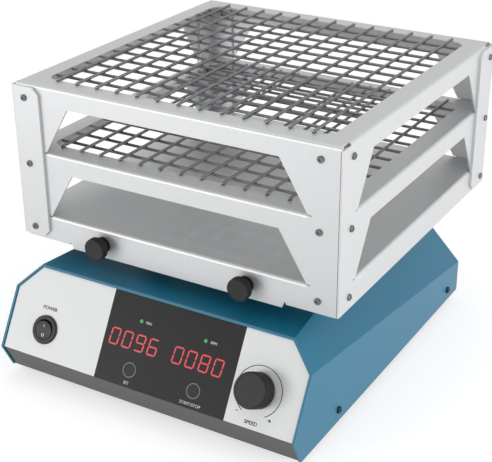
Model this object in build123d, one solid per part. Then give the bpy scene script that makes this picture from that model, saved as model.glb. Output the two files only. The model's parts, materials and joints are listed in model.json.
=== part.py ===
from build123d import *
import math
import os

# Orbital shaker with a three-level rack, in millimetres.
# X runs to the right, the control panel faces -Y, Z is up.
# Shapes are drawn with the rack at rest over the origin, and saved centred over their whole outline.

# rack of bent sheet
rack_size = 305.0
tray_pitch = 59.0
tray_sheet = 1.5
bend_radius = 2.8
border_width = 18.5
opening_size = rack_size - 2 * border_width
opening_corner = 10.0
flange_depth = 17.0
base_flange_depth = 23.0
lip_depth = 3.5
lip_end = 49.5
window_top_end = 53.0
window_foot_end = 27.9
relief_length = 3.6
relief_width = 1.0
corner_notch = 13.0
corner_gap = 0.35

# corner posts and their screws
post_sheet = 2.6
post_leg_x = 28.0
post_leg_y = 33.0
post_chamfer = 6.0
post_end_gap = 2.4
screw_drop = 12.3
outer_screw_x = 10.5
outer_screw_y = 7.5
inner_screw = 18.0
screw_hole = 3.4
screw_thread = 3.0
screw_head = 5.7
screw_head_height = 1.65
screw_socket = 2.0
nut_flats = 5.5
nut_height = 2.4

# welded wire shelves
wire_diameter = 3.0
wire_pitch = 20.0
wire_overlap = 3.5

# housing
foot_height = 8.0
base_height = 92.5
base_half_width = 146.0
base_rear = 130.0
shell_sheet = 2.0
nose_front = 208.0
nose_height = 24.0
toe_back = 12.0
panel_tilt = 30.0
panel_length = 76.1
panel_recess = 1.2
panel_gap = 0.6
panel_sheet = 2.0
facet_side_front = 72.0
facet_side_rear = 31.0
facet_top_front = 21.4
lip_gap = 12.5
side_screw_height = 11.2
side_screw_front = 132.4
side_screw_rear = 104.2
side_screw_head = 6.4

# bottom pan and rear panel
pan_sheet = 1.5
pan_side_height = 17.0
rear_sheet = 2.0
foot_diameter = 26.0
foot_inset_x = 34.0
foot_inset_front = 46.0
foot_inset_rear = 30.0
vent_count = 9
vent_pitch = 7.0
vent_width = 3.0
vent_length = 26.0

# control panel, along the slope from its lower edge
display_left_end = 100.1
display_right_end = 64.3
overlay_sheet = 0.8
digit_height = 14.2
digit_width = 7.6
digit_pitch = 12.7
segment_width = 1.7
module_width = 50.3
module_height = 19.0
module_depth = 8.0
minutes_inset = 29.5
speed_inset = 35.3
digits_y = 38.0
led_shift = 2.6
led_y = 55.9
led_diameter = 3.2
key_y = 14.4
key_ring_outer = 6.4
key_ring_inner = 5.6
key_travel = 0.8
key_clearance = 0.2
switch_end = 40.3
switch_y = 24.7
switch_bezel = 25.0
switch_barrel = 20.0
switch_depth = 21.0
rocker_tilt = 7.0
knob_end = 40.7
knob_y = 31.0
knob_diameter = 29.2
knob_height = 16.0
knob_ribs = 40
knob_shaft = 6.0
board_sheet = 1.6

# orbital drive
orbit_radius = 10.0
idler_side_room = 16.0
idler_front = 75.0
idler_rear = 75.0
deck_sheet = 4.0
deck_drop = 6.0
deck_side_room = 60.0
deck_front = 112.0
deck_rear = 108.0
shaft_diameter = 15.0
crank_disc = 46.0
crank_disc_height = 8.0
crank_lift = 3.0
crank_pin = 12.0
idler_shaft = 10.0
idler_pin = 8.0
idler_web = 6.0
running_gap = 0.04
bearing_gap = 0.3
motor_offset = 88.0
motor_diameter = 52.0
motor_length = 44.0
big_pulley = 108.0
small_pulley = 24.0
belt_width = 9.0
belt_thickness = 2.0
column_flats = 12.0

# carriage under the rack
carriage_sheet = 3.0
carriage_side_room = 12.5
carriage_flange = 17.0
carriage_notch = 34.0
thumb_end = 82.1
thumb_drop = 14.0
thumb_reach = 14.0
thumb_disc = 20.0
thumb_disc_height = 6.5
thumb_collar = 12.0
thumb_thread = 6.0
soft_gap = 0.3

# levels that follow from the sizes above
base_bottom = foot_height
base_top = base_bottom + base_height
lip_bottom = base_top + lip_gap
flange_bottom = lip_bottom + lip_depth
low_level = flange_bottom + base_flange_depth
mid_level = low_level + tray_pitch
top_level = mid_level + tray_pitch
half = rack_size / 2
lip_half_width = half - lip_end
window_top_half = half - window_top_end
window_foot_half = half - window_foot_end
thumb_x = half - thumb_end
carriage_half_width = half - carriage_side_room
wire_room = opening_size / 2 - opening_corner - wire_diameter
wire_count = 2 * math.floor(wire_room / wire_pitch) + 1
deck_half_width = base_half_width - deck_side_room
idler_x = deck_half_width - idler_side_room
display_left = display_left_end - base_half_width
display_right = base_half_width - display_right_end
minutes_x = display_left + minutes_inset
speed_x = display_right - speed_inset
switch_x = switch_end - base_half_width
knob_x = base_half_width - knob_end
inner_post_leg = half - tray_sheet - window_foot_half - soft_gap
drive_y = -orbit_radius
far = 900.0
tilt = math.radians(panel_tilt)
toe_tilt = math.atan2(toe_back, nose_height)
nose_out = panel_recess * math.cos((tilt - toe_tilt) / 2) / math.cos((tilt + toe_tilt) / 2)
rear_reach = half + post_sheet + screw_head_height
origin_shift = (nose_front + nose_out - rear_reach) / 2

os.makedirs("parts", exist_ok=True)


def save(shape, name):
    solids = [Pos(0, origin_shift, 0) * solid for solid in shape.solids()]
    body = solids[0] if len(solids) == 1 else Compound(label=name, children=solids)
    body.label = name
    export_step(body, "parts/" + name + ".step")


def rod(x, y, z0, z1, diameter):
    return Pos(x, y, (z0 + z1) / 2) * Cylinder(diameter / 2, z1 - z0)


def tube(x, y, z0, z1, outer, inner):
    return rod(x, y, z0, z1, outer) - rod(x, y, z0 - 1, z1 + 1, inner)


def block(x0, x1, y0, y1, z0, z1):
    return Pos((x0 + x1) / 2, (y0 + y1) / 2, (z0 + z1) / 2) * Box(x1 - x0, y1 - y0, z1 - z0)


def hexagon(flats, z0, z1):
    prism = extrude(RegularPolygon(flats / 2, 6, major_radius=False), z1 - z0)
    return Pos(0, 0, z0) * prism


def plate(points, thickness, where=Location()):
    sheet = extrude(Polygon(*points, align=None), abs(thickness), dir=(0, 0, 1))
    return where * Pos(0, 0, min(0, thickness)) * sheet


def group(items):
    return Compound(children=list(items))


# The four rack faces: x runs along the face, y is height, z points out.
faces = {
    "front": Plane(origin=(0, -half, 0), x_dir=(1, 0, 0), z_dir=(0, -1, 0)).location,
    "right": Plane(origin=(half, 0, 0), x_dir=(0, 1, 0), z_dir=(1, 0, 0)).location,
    "back": Plane(origin=(0, half, 0), x_dir=(-1, 0, 0), z_dir=(0, 1, 0)).location,
    "left": Plane(origin=(-half, 0, 0), x_dir=(0, -1, 0), z_dir=(-1, 0, 0)).location,
}
turned = Rot(0, 0, 180)
levels = (low_level, mid_level, top_level)


# Each face has a screw by the outer post at one end and by the inner post at the other.
def screw_stations(side):
    if side in ("front", "back"):
        return ((-half + outer_screw_x, True), (half - inner_screw, False))
    return ((-half + inner_screw, False), (half - outer_screw_y, True))


def flange(side, level, depth, leg, top_tray):
    across = side in ("front", "back")
    ends = half - corner_gap - (tray_sheet if across else 0)
    run = bend_run(side, top_tray)
    crown = level - bend_radius
    ear = crown if top_tray else level
    foot = level - leg
    low = level - depth
    points = [(-ends, ear), (-run, ear), (-run, crown), (run, crown), (run, ear), (ends, ear)]
    if leg > depth:
        points += [(ends, foot), (window_foot_half, foot), (window_top_half, low)]
        points += [(-window_top_half, low), (-window_foot_half, foot), (-ends, foot)]
    elif side == "front":
        lip = low - lip_depth
        notch = lip_half_width + relief_length
        inner = notch - relief_width * 2
        points += [(ends, low), (notch, low), (notch, low + lip_depth / 2)]
        points += [(inner, low + lip_depth / 2), (inner, low), (lip_half_width, lip)]
        points += [(-lip_half_width, lip), (-inner, low), (-inner, low + lip_depth / 2)]
        points += [(-notch, low + lip_depth / 2), (-notch, low), (-ends, low)]
    else:
        points += [(ends, low), (-ends, low)]
    sheet = plate(points, -tray_sheet, faces[side])
    if not top_tray:
        slit = Box(2 * relief_length, 2 * relief_width, 3 * tray_sheet)
        sheet -= faces[side] * Pos(window_foot_half, level) * slit
        sheet -= faces[side] * Pos(-window_foot_half, level) * slit
    drill = Cylinder(screw_hole / 2, 3 * tray_sheet)
    for station, outer in screw_stations(side):
        sheet -= faces[side] * Pos(station, level - screw_drop) * drill
    return sheet


def bend_run(side, top_tray):
    if not top_tray:
        return window_foot_half
    return half - (3 * corner_gap if side in ("front", "back") else corner_notch)


# A bend is a quarter ring that joins the flat of a tray to its flange.
def bend(side, level, run):
    ring = Circle(bend_radius) - Circle(bend_radius - tray_sheet)
    quarter = Pos(bend_radius, bend_radius) * Rectangle(2 * bend_radius, 2 * bend_radius)
    upright = Plane(origin=(0, 0, 0), x_dir=(0, 0, 1), z_dir=(-1, 0, 0)).location
    start = faces[side] * Pos(run, level - bend_radius, -bend_radius) * upright
    return extrude(start * (ring & quarter), 2 * run)


def tray(level, depth, leg, top_tray=False, window=True):
    inner = half - bend_radius
    sheet = block(-inner, inner, -inner, inner, level - tray_sheet, level)
    if window:
        hole = extrude(RectangleRounded(opening_size, opening_size, opening_corner), 9)
        sheet -= Pos(0, 0, level - 5) * hole
    if not top_tray:
        reach = half - tray_sheet - post_sheet - soft_gap
        for spin in (Location(), turned):
            slot = window_foot_half
            sheet -= spin * block(reach, half, -half, -slot, level - 5, level + 5)
            sheet -= spin * block(slot, half, -half, -reach, level - 5, level + 5)
    for side in faces:
        sheet += flange(side, level, depth, leg, top_tray)
        sheet += bend(side, level, bend_run(side, top_tray))
    return sheet


# trays
save(tray(top_level, flange_depth, tray_pitch, top_tray=True), "tray_top")
save(tray(mid_level, flange_depth, tray_pitch), "tray_middle")
bottom_tray = tray(low_level, base_flange_depth, base_flange_depth, window=False)
thumb_z = low_level - thumb_drop
for x in (-thumb_x, thumb_x):
    hole = Cylinder(thumb_thread / 2 + soft_gap, 4 * tray_sheet)
    bottom_tray -= faces["front"] * Pos(x, thumb_z) * hole
save(bottom_tray, "tray_bottom")


# corner posts
def post_leg(side, edge, end, z0, z1, offset, thickness):
    cut = post_chamfer * (1 if end > edge else -1)
    points = [(edge, z0), (end - cut, z0), (end, z0 + post_chamfer)]
    points += [(end, z1 - post_chamfer), (end - cut, z1), (edge, z1)]
    leg = plate(points, thickness, faces[side] * Pos(0, 0, offset))
    return leg


def post_holes(post, end):
    drill = Cylinder(screw_hole / 2, 8 * post_sheet)
    for side in ("front", "left" if end < 0 else "right"):
        for station, outer in screw_stations(side):
            for level in levels:
                if outer == (end < 0):
                    post -= faces[side] * Pos(station, level - screw_drop) * drill
    return post


post_foot = flange_bottom + bend_radius
outer_top = top_level - post_end_gap
outer_edge = half + post_sheet
outer_post = post_leg("front", -outer_edge, post_leg_x - outer_edge, post_foot, outer_top, 0, post_sheet)
outer_post += post_leg("left", outer_edge, outer_edge - post_leg_y, post_foot, outer_top, 0, post_sheet)
corner = outer_post.edges().filter_by(Axis.Z).sort_by(lambda e: e.center().X + e.center().Y)[0]
outer_post = fillet(corner, 0.8 * post_sheet)
outer_post = post_holes(outer_post, -1)
save(outer_post, "post_front_left")
save(turned * outer_post, "post_back_right")
inner_edge = half - tray_sheet
inner_top = top_level - bend_radius - soft_gap
reach = inner_edge - inner_post_leg
inner_post = post_leg("front", inner_edge, reach, post_foot, inner_top, -tray_sheet, -post_sheet)
inner_post += post_leg("right", -inner_edge, -reach, post_foot, inner_top, -tray_sheet, -post_sheet)
inner_post = post_holes(inner_post, 1)
save(inner_post, "post_front_right")
save(turned * inner_post, "post_back_left")

# rack screws and nuts
screws = []
nuts = []
for side in faces:
    for station, outer in screw_stations(side):
        seat = post_sheet if outer else 0
        grip = tray_sheet if outer else tray_sheet + post_sheet
        for level in levels:
            at = faces[side] * Pos(station, level - screw_drop)
            head = Cylinder(screw_head / 2, screw_head_height)
            head = chamfer(head.edges().sort_by(Axis.Z)[-1], screw_head_height / 3)
            head = Pos(0, 0, seat + screw_head_height / 2) * head
            socket = hexagon(screw_socket, seat + screw_head_height / 2, seat + 9)
            screw = head - socket + rod(0, 0, -grip - nut_height - 1, seat, screw_thread)
            nut = hexagon(nut_flats, -grip - nut_height, -grip)
            nut -= rod(0, 0, -99, 99, screw_thread + 0.2)
            screws.append(at * screw)
            nuts.append(at * nut)
save(group(screws), "rack_screws")


# wire shelves
def shelf(level):
    length = opening_size + 2 * wire_overlap
    wires = []
    for k in range(wire_count):
        place = (k - (wire_count - 1) / 2) * wire_pitch
        wire = Cylinder(wire_diameter / 2, length)
        wires.append(Pos(0, place, level + wire_diameter / 2) * Rot(0, 90, 0) * wire)
        wires.append(Pos(place, 0, level + 1.5 * wire_diameter) * Rot(90, 0, 0) * wire)
    return group(wires)


save(shelf(top_level), "shelf_top")
save(shelf(mid_level), "shelf_middle")

# carriage that the rack sits on
thumb_nut = 5.0
tip_y = -half + tray_sheet + thumb_nut + 2
carriage_front = tip_y + soft_gap
carriage_back = half - bend_radius - soft_gap
carriage_top = low_level - tray_sheet - soft_gap
carriage_low = carriage_top - carriage_sheet
carriage_foot = carriage_top - carriage_flange
w = carriage_half_width
carriage = block(-w, w, carriage_front, carriage_back, carriage_low, carriage_top)
near = carriage_front + carriage_sheet
rear = carriage_back - carriage_sheet
carriage += block(-w, w, carriage_front, near, carriage_foot, carriage_top)
carriage += block(-w, w, rear, carriage_back, carriage_foot, carriage_top)
for sx in (-1, 1):
    for y in (carriage_front, carriage_back):
        carriage -= Pos(sx * half, y, carriage_top) * Box(2 * carriage_notch, 2 * carriage_notch, 90)

# heights in the drive
crank_low = base_top + crank_lift
crank_high = crank_low + crank_disc_height
idler_high = crank_low + idler_web
hub_low = crank_high + 2
pin_top = carriage_low - 2
deck_top = base_top - shell_sheet - deck_drop
deck_low = deck_top - deck_sheet
floor = base_bottom + pan_sheet
idlers = {
    "front_left": (-idler_x, drive_y - idler_front),
    "front_right": (idler_x, drive_y - idler_front),
    "back_left": (-idler_x, drive_y + idler_rear),
    "back_right": (idler_x, drive_y + idler_rear),
}

# hubs and bearings in the carriage
wide_bearing = 32.0
wide_height = 10.0
hub = tube(0, 0, hub_low, carriage_low, wide_bearing + 12, wide_bearing + running_gap)
hub += tube(0, 0, hub_low + wide_height + 2, carriage_low, wide_bearing + 12, crank_pin + 10)
bush_outer = idler_pin + 5
hubs = [hub]
for x, y in idlers.values():
    pin_y = y + orbit_radius
    hubs.append(tube(x, pin_y, hub_low, carriage_low, bush_outer + 9, bush_outer + running_gap))
    hubs.append(tube(x, pin_y, hub_low, carriage_low, bush_outer, idler_pin + 2 * running_gap))
    carriage -= rod(x, pin_y, carriage_low - 1, carriage_top + 1, idler_pin + 1)
carriage -= rod(0, 0, carriage_low - 1, carriage_top + 1, crank_pin + 1)
save(carriage, "carriage_plate")
save(group(hubs), "carriage_hubs")
low = hub_low + 1
high = low + wide_height
groove = tube(0, 0, high - 0.6, high + 1, wide_bearing - 6, crank_pin + 6)
groove += tube(0, 0, low - 1, low + 0.6, wide_bearing - 6, crank_pin + 6)
save(tube(0, 0, low, high, wide_bearing, crank_pin + 2 * running_gap) - groove, "pin_bearing")

# thumb screws that hold the rack
for name, x in (("left", -thumb_x), ("right", thumb_x)):
    at = faces["front"] * Pos(x, thumb_z)
    washer = at * tube(0, 0, 0.1, 1.1, thumb_collar + 2, thumb_thread + 0.3)
    save(washer, "thumb_washer_" + name)
    disc_low = thumb_reach - thumb_disc_height
    disc = rod(0, 0, disc_low, thumb_reach, thumb_disc)
    disc = chamfer(disc.edges().filter_by(GeomType.CIRCLE).sort_by(Axis.Z)[-1], 0.6)
    for k in range(24):
        flute = Rot(0, 0, k * 15) * Pos(thumb_disc / 2 + 0.5, 0, thumb_reach) * Cylinder(0.9, 40)
        disc -= flute
    screw = disc + rod(0, 0, 1.2, disc_low, thumb_collar)
    screw += rod(0, 0, -(half + tip_y), 1.2, thumb_thread)
    save(at * screw, "thumb_screw_" + name)
for x in (-thumb_x, thumb_x):
    nut = hexagon(10, -tray_sheet - thumb_nut, -tray_sheet) - rod(0, 0, -99, 9, thumb_thread + 0.1)
    nuts.append(faces["front"] * Pos(x, thumb_z) * nut)
save(group(nuts), "rack_nuts")

# The housing is a block with planes cut off: side facets, sloping panel and toe.
nose_z = base_bottom + nose_height
panel = Plane(
    origin=(0, -nose_front, nose_z),
    x_dir=(1, 0, 0),
    z_dir=(0, -math.cos(tilt), math.sin(tilt)),
)
toe = Plane(
    origin=(0, -nose_front, nose_z),
    x_dir=(1, 0, 0),
    z_dir=(0, -math.cos(toe_tilt), -math.sin(toe_tilt)),
)


def panel_edge(z, out):
    return -nose_front + (z - nose_z) * math.tan(tilt) - out / math.cos(tilt)


def facet_plane(sign):
    side = sign * base_half_width
    z_side = base_bottom + facet_side_front
    low_front = Vector(side, panel_edge(z_side, panel_recess), z_side)
    low_rear = Vector(side, base_rear, base_bottom + facet_side_rear)
    top = side - sign * facet_top_front
    high_front = Vector(top, panel_edge(base_top, panel_recess), base_top)
    normal = (low_rear - low_front).cross(high_front - low_front)
    if normal.Z < 0:
        normal = -normal
    return Plane(origin=low_front, z_dir=normal)


def cut_outside(solid, plane, out=0.0):
    return solid - plane.location * Pos(0, 0, out + far / 2) * Box(2 * far, 2 * far, far)


def housing(inset, out, rear, low):
    side = base_half_width - inset
    solid = block(-side, side, -nose_front - 50, rear, low, base_top - inset)
    solid = cut_outside(solid, facet_plane(1), -inset)
    solid = cut_outside(solid, facet_plane(-1), -inset)
    solid = cut_outside(solid, panel, out)
    return cut_outside(solid, toe, out)


# shell
shell = housing(0, panel_recess, base_rear, base_bottom)
shell -= housing(shell_sheet, 40, base_rear + 5, base_bottom - 5)
main_tube = 46.0
idler_tube = 24.0
shell -= rod(0, drive_y, base_top - 9, base_top + 9, main_tube + 2)
for x, y in idlers.values():
    shell -= rod(x, y, base_top - 9, base_top + 9, idler_tube + 2)
side_screws = [(-side_screw_front, 1), (side_screw_rear, 1), (-side_screw_front, -1), (side_screw_rear, -1)]
screw_z = base_bottom + side_screw_height
for y, sx in side_screws:
    shell -= Pos(sx * base_half_width, y, screw_z) * Rot(0, 90, 0) * Cylinder(2.2, 20)
save(shell, "housing_shell")

# bottom pan with side flanges, rear flange and the grey toe
gap = 0.2
pan_half = base_half_width - shell_sheet - gap
pan_rear = base_rear - rear_sheet - gap
pan = block(-pan_half, pan_half, -nose_front, pan_rear, base_bottom, floor)
pan = cut_outside(pan, toe)
front_wall = block(-pan_half, pan_half, -nose_front - 9, -nose_front + 30, base_bottom, nose_z)
front_wall = cut_outside(front_wall, toe)
inside = Plane(origin=toe.origin - toe.z_dir * pan_sheet, x_dir=(1, 0, 0), z_dir=-toe.z_dir)
front_wall = cut_outside(front_wall, inside)
seam = Plane(origin=panel.origin, x_dir=(1, 0, 0), z_dir=panel.y_dir)
front_wall = cut_outside(front_wall, seam, -gap)
pan += front_wall
side_top = floor + pan_side_height
inner = pan_half - pan_sheet
rear_in = pan_rear - pan_sheet
flange_front = -nose_front + toe_back + 14
for sx in (-1, 1):
    x0, x1 = sorted((sx * inner, sx * pan_half))
    pan += block(x0, x1, flange_front, pan_rear, base_bottom, side_top)
pan += block(-inner + 4, inner - 4, rear_in, pan_rear, base_bottom, side_top)
for y, sx in side_screws:
    pan -= Pos(sx * pan_half, y, screw_z) * Rot(0, 90, 0) * Cylinder(2.2, 20)
feet_at = []
for sx in (-1, 1):
    feet_at.append((sx * (base_half_width - foot_inset_x), -nose_front + foot_inset_front))
    feet_at.append((sx * (base_half_width - foot_inset_x), base_rear - foot_inset_rear))
for x, y in feet_at:
    pan -= rod(x, y, base_bottom - 5, floor + 5, 4.4)
columns_at = []
column_front = drive_y - deck_front + 9
column_rear = drive_y + deck_rear - 9
for sx in (-1, 1):
    for y in (column_front, column_rear):
        columns_at.append((sx * (deck_half_width - 9), y))
for x, y in columns_at:
    pan -= rod(x, y, base_bottom - 5, floor + 5, 4.4)

# rear panel with inlet, vents and its screws
rear_body = housing(shell_sheet + gap, 40, base_rear, side_top + 0.2)
rear_slab = block(-base_half_width, base_half_width, base_rear - rear_sheet, base_rear, side_top + 0.2, base_top)
rear_panel = rear_body & rear_slab
inlet_x = -62.0
inlet_z = base_bottom + 42
inlet_width = 28.0
inlet_height = 20.0
rear_panel -= Pos(inlet_x, base_rear, inlet_z) * Box(inlet_width + 0.6, 20, inlet_height + 0.6)
for k in range(vent_count):
    x = 22 + k * vent_pitch
    slot = Box(vent_width, 20, vent_length)
    slot = fillet(slot.edges().filter_by(Axis.Y), vent_width / 2.1)
    rear_panel -= Pos(x, base_rear, inlet_z + 4) * slot
save(rear_panel, "rear_panel")

# mains inlet: a moulded body with a hollow, a flange outside and three blades
body = Pos(inlet_x, base_rear, inlet_z) * Box(inlet_width, 44, inlet_height)
body -= block(-half, half, base_rear, far, 0, far)
flange_box = Box(inlet_width + 6, 2, inlet_height + 5)
body += Pos(inlet_x, base_rear + 1, inlet_z) * chamfer(flange_box.edges().filter_by(Axis.Y), 2)
body -= Pos(inlet_x, base_rear + 2, inlet_z) * Box(inlet_width - 4, 32, inlet_height - 4)
save(body, "mains_inlet")
terminals = []
for x, z in ((-7, -2), (0, 2), (7, -2)):
    blade_y = base_rear - 8
    terminals.append(Pos(inlet_x + x, blade_y, inlet_z + z) * Box(2, 12, 4))

# feet, columns and housing screws
feet = []
pan_screws = []
for x, y in feet_at:
    foot = Pos(x, y, base_bottom / 2) * Cone(foot_diameter / 2 - 1.5, foot_diameter / 2, foot_height)
    foot -= rod(x, y, -1, foot_height + 1, 4.4)
    foot -= rod(x, y, -1, foot_height / 2, 9)
    feet.append(foot)
    head = rod(x, y, foot_height / 2 - 2.4, foot_height / 2, 7)
    screw = head + rod(x, y, foot_height / 2, floor + 4, 4)
    pan_screws.append(screw)
save(group(feet), "rubber_feet")
nuts = []
for x, y in feet_at:
    nuts.append(Pos(x, y) * (hexagon(7, floor, floor + 3.2) - rod(0, 0, 0, 99, 4.2)))
columns = []
for x, y in columns_at:
    column = hexagon(column_flats, floor, deck_low)
    column -= rod(0, 0, floor - 1, floor + 12, 4.2)
    column -= rod(0, 0, deck_low - 12, deck_low + 1, 4.2)
    columns.append(Pos(x, y) * column)
    top = rod(x, y, deck_top, deck_top + 2.4, 7) + rod(x, y, deck_low - 8, deck_top, 4)
    low = rod(x, y, base_bottom - 2.4, base_bottom, 7) + rod(x, y, base_bottom, floor + 8, 4)
    pan_screws += [top, low]
save(group(columns), "deck_columns")
save(group(pan_screws), "pan_screws")
screws = []
for y, sx in side_screws:
    head = Cylinder(side_screw_head / 2, 1.8)
    head = chamfer(head.edges().sort_by(Axis.Z)[-1], 0.6)
    head = Pos(0, 0, 0.9) * head - hexagon(2.5, 0.8, 9)
    screw = head + rod(0, 0, -shell_sheet - gap - pan_sheet - 4, 0, 4)
    screws.append(Pos(sx * base_half_width, y, screw_z) * Rot(0, sx * 90, 0) * screw)
save(group(screws), "side_screws")
for y, sx in side_screws:
    nut = hexagon(7, 0, 3.2) - rod(0, 0, -9, 9, 4.2)
    nuts.append(Pos(sx * inner, y, screw_z) * Rot(0, -sx * 90, 0) * nut)
save(group(nuts), "pan_nuts")


# control panel plate; the helper places things on the slope
def on_panel(x, y, out=0.0):
    return panel.location * Pos(x, y, out)


def pill(length, width, height):
    half_length = (length - width) / 2
    tip = width / 2
    points = [(-half_length - tip, 0), (-half_length, tip), (half_length, tip)]
    points += [(half_length + tip, 0), (half_length, -tip), (-half_length, -tip)]
    return plate(points, height)


SEGMENTS = {"0": "abcdef", "6": "acdefg", "8": "abcdefg", "9": "abcdfg"}
bar = digit_width - segment_width
post = digit_height / 2 - segment_width / 2
SPOTS = {
    "a": (0, post, 0),
    "g": (0, 0, 0),
    "d": (0, -post, 0),
    "f": (-bar / 2, post / 2, 90),
    "b": (bar / 2, post / 2, 90),
    "e": (-bar / 2, -post / 2, 90),
    "c": (bar / 2, -post / 2, 90),
}


def digits(text, x, y):
    lit = []
    for k, figure in enumerate(text):
        place = x + (k - (len(text) - 1) / 2) * digit_pitch
        for name in SEGMENTS[figure]:
            dx, dy, spin = SPOTS[name]
            length = post - 0.4 if spin else bar - 0.4
            lean = dy * math.tan(math.radians(5))
            at = on_panel(place + dx + lean, y + dy, -overlay_sheet) * Rot(0, 0, spin)
            lit.append(at * pill(length, segment_width, overlay_sheet))
    return lit


slab = block(-base_half_width, base_half_width, 0, panel_length * 1.2, -panel_sheet, 0)
room = housing(shell_sheet + panel_gap, 40, base_rear, 0)
fascia = (panel.location * slab) & room
window = block(display_left, display_right, -5, panel_length * 1.3, -overlay_sheet, 5)
overlay_room = block(display_left + 0.1, display_right - 0.1, 0, panel_length * 1.3, -overlay_sheet, 0)
overlay = (panel.location * overlay_room) & fascia
fascia -= panel.location * window
drill = Cylinder(switch_barrel / 2 + 0.2, 20)
fascia -= on_panel(switch_x, switch_y) * drill
fascia -= on_panel(knob_x, knob_y) * Cylinder(4.7, 20)
led_spots = (minutes_x + led_shift, speed_x + led_shift)
for x in led_spots:
    fascia -= on_panel(x, led_y) * Cylinder(led_diameter / 2 + 0.2, 20)
    fascia -= on_panel(x, key_y) * Cylinder(key_ring_outer + 0.3, 20)
    overlay -= on_panel(x, led_y) * Cylinder(led_diameter / 2 + 0.1, 20)
    overlay -= on_panel(x, key_y) * Cylinder(key_ring_outer + 0.1, 20)
for x in (minutes_x, speed_x):
    fascia -= on_panel(x, digits_y) * Box(module_width + 0.6, module_height + 0.6, 20)
lit = digits("0096", minutes_x, digits_y) + digits("0080", speed_x, digits_y)
for segment in lit:
    overlay -= segment
save(overlay, "display_window")
save(group(lit), "lit_segments")
modules = []
for x in (minutes_x, speed_x):
    room = Box(module_width, module_height, module_depth)
    modules.append(on_panel(x, digits_y, -overlay_sheet - module_depth / 2) * room)
lamps = []
rings = []
for x in led_spots:
    lamp = rod(0, 0, -overlay_sheet - module_depth, 0.3, led_diameter)
    lamps.append(on_panel(x, led_y) * lamp)
    ring = tube(0, 0, -overlay_sheet - 3, 0, 2 * key_ring_outer, 2 * key_ring_inner)
    rings.append(on_panel(x, key_y) * ring)
save(group(lamps), "indicator_lamps")
save(group(rings), "key_rings")
board_front = -overlay_sheet - module_depth
board_parts = modules
for name, x in (("set", led_spots[0]), ("start", led_spots[1])):
    cap_low = -overlay_sheet - 4
    cap = rod(0, 0, cap_low, 0, 2 * (key_ring_inner - key_clearance))
    save(on_panel(x, key_y) * cap, "key_" + name)
    switch_top = cap_low - key_travel - 0.1
    contact = Pos(0, 0, (board_front + switch_top - 1) / 2) * Box(6, 6, switch_top - 1 - board_front)
    contact += rod(0, 0, switch_top - 1, switch_top, 3)
    board_parts.append(on_panel(x, key_y) * contact)
board_low = board_front - board_sheet
room = block(display_left + 2, display_right - 2, 5, panel_length - 12, board_low, board_front)
board = panel.location * room
for x in (display_left + 6, display_right - 6):
    for y in (9, panel_length - 16):
        board -= on_panel(x, y, board_front) * Cylinder(1.7, 9)
        stud = rod(0, 0, board_front, -panel_sheet, 6) + rod(0, 0, board_low - 3, board_front, 3)
        fascia += on_panel(x, y) * stud
save(group([board] + board_parts), "display_board")
save(fascia, "control_panel")

# power switch
bezel = rod(0, 0, 0, 2, switch_bezel)
bezel = chamfer(bezel.edges().sort_by(Axis.Z)[-1], 0.8)
bezel += rod(0, 0, -switch_depth, 0, switch_barrel)
bezel -= rod(0, 0, -6, 9, switch_barrel - 2)
save(on_panel(switch_x, switch_y) * bezel, "switch_body")
for x in (-4, 4):
    terminals.append(on_panel(switch_x + x, switch_y, -switch_depth - 4) * Box(0.8, 6, 8))
save(group(terminals), "terminals")
pivot_out = -2.0
rocker = Cylinder(switch_barrel / 2 - 1.9, 9)
rocker = Pos(0, 0, 2.5) * rocker
dish = Pos(0, 0, 4.4 + 46) * Rot(0, 90, 0) * Cylinder(46, 60)
rocker -= dish
for sy in (-1, 1):
    wedge = Pos(0, 0, -2) * Rot(sy * (rocker_tilt + 6), 0, 0) * Pos(0, sy * 20, -10) * Box(60, 40, 20)
    rocker -= wedge
rocker_at = on_panel(switch_x, switch_y, pivot_out) * Rot(rocker_tilt, 0, 0)
save(rocker_at * rocker, "switch_rocker")

# speed knob on its encoder
knob = rod(0, 0, 1.0, 1.0 + knob_height, knob_diameter)
knob = chamfer(knob.edges().sort_by(Axis.Z)[-1], 0.9)
for k in range(knob_ribs):
    flute = Rot(0, 0, k * 360 / knob_ribs) * Pos(knob_diameter / 2 + 0.3, 0, 7) * Cylinder(0.75, 18)
    knob -= flute
nut_flat = 12.0
knob -= rod(0, 0, 0, 5.5, nut_flat * 1.3)
knob -= rod(0, 0, 0, 13, knob_shaft + running_gap)
shaft = rod(0, 0, -8, 12.8, knob_shaft)
save(on_panel(knob_x, knob_y) * group([knob, shaft]), "speed_knob")
encoder = Pos(0, 0, -panel_sheet - 4) * Box(14, 14, 8)
encoder += rod(0, 0, -panel_sheet, 4.6, 9)
encoder -= rod(0, 0, -8.5, 9, knob_shaft + 2 * running_gap)
nut = hexagon(nut_flat, 0, 2.3) - rod(0, 0, -9, 9, 9.2)
save(on_panel(knob_x, knob_y) * group([encoder, nut]), "encoder_body")

# deck that carries the drive
deck = block(-deck_half_width, deck_half_width, drive_y - deck_front, drive_y + deck_rear, deck_low, deck_top)
deck -= rod(0, drive_y, deck_low - 1, deck_top + 1, main_tube + 0.6)
for x, y in idlers.values():
    deck -= rod(x, y, deck_low - 1, deck_top + 1, idler_tube + 0.6)
for x, y in columns_at:
    deck -= rod(x, y, deck_low - 1, deck_top + 1, 4.4)

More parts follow.
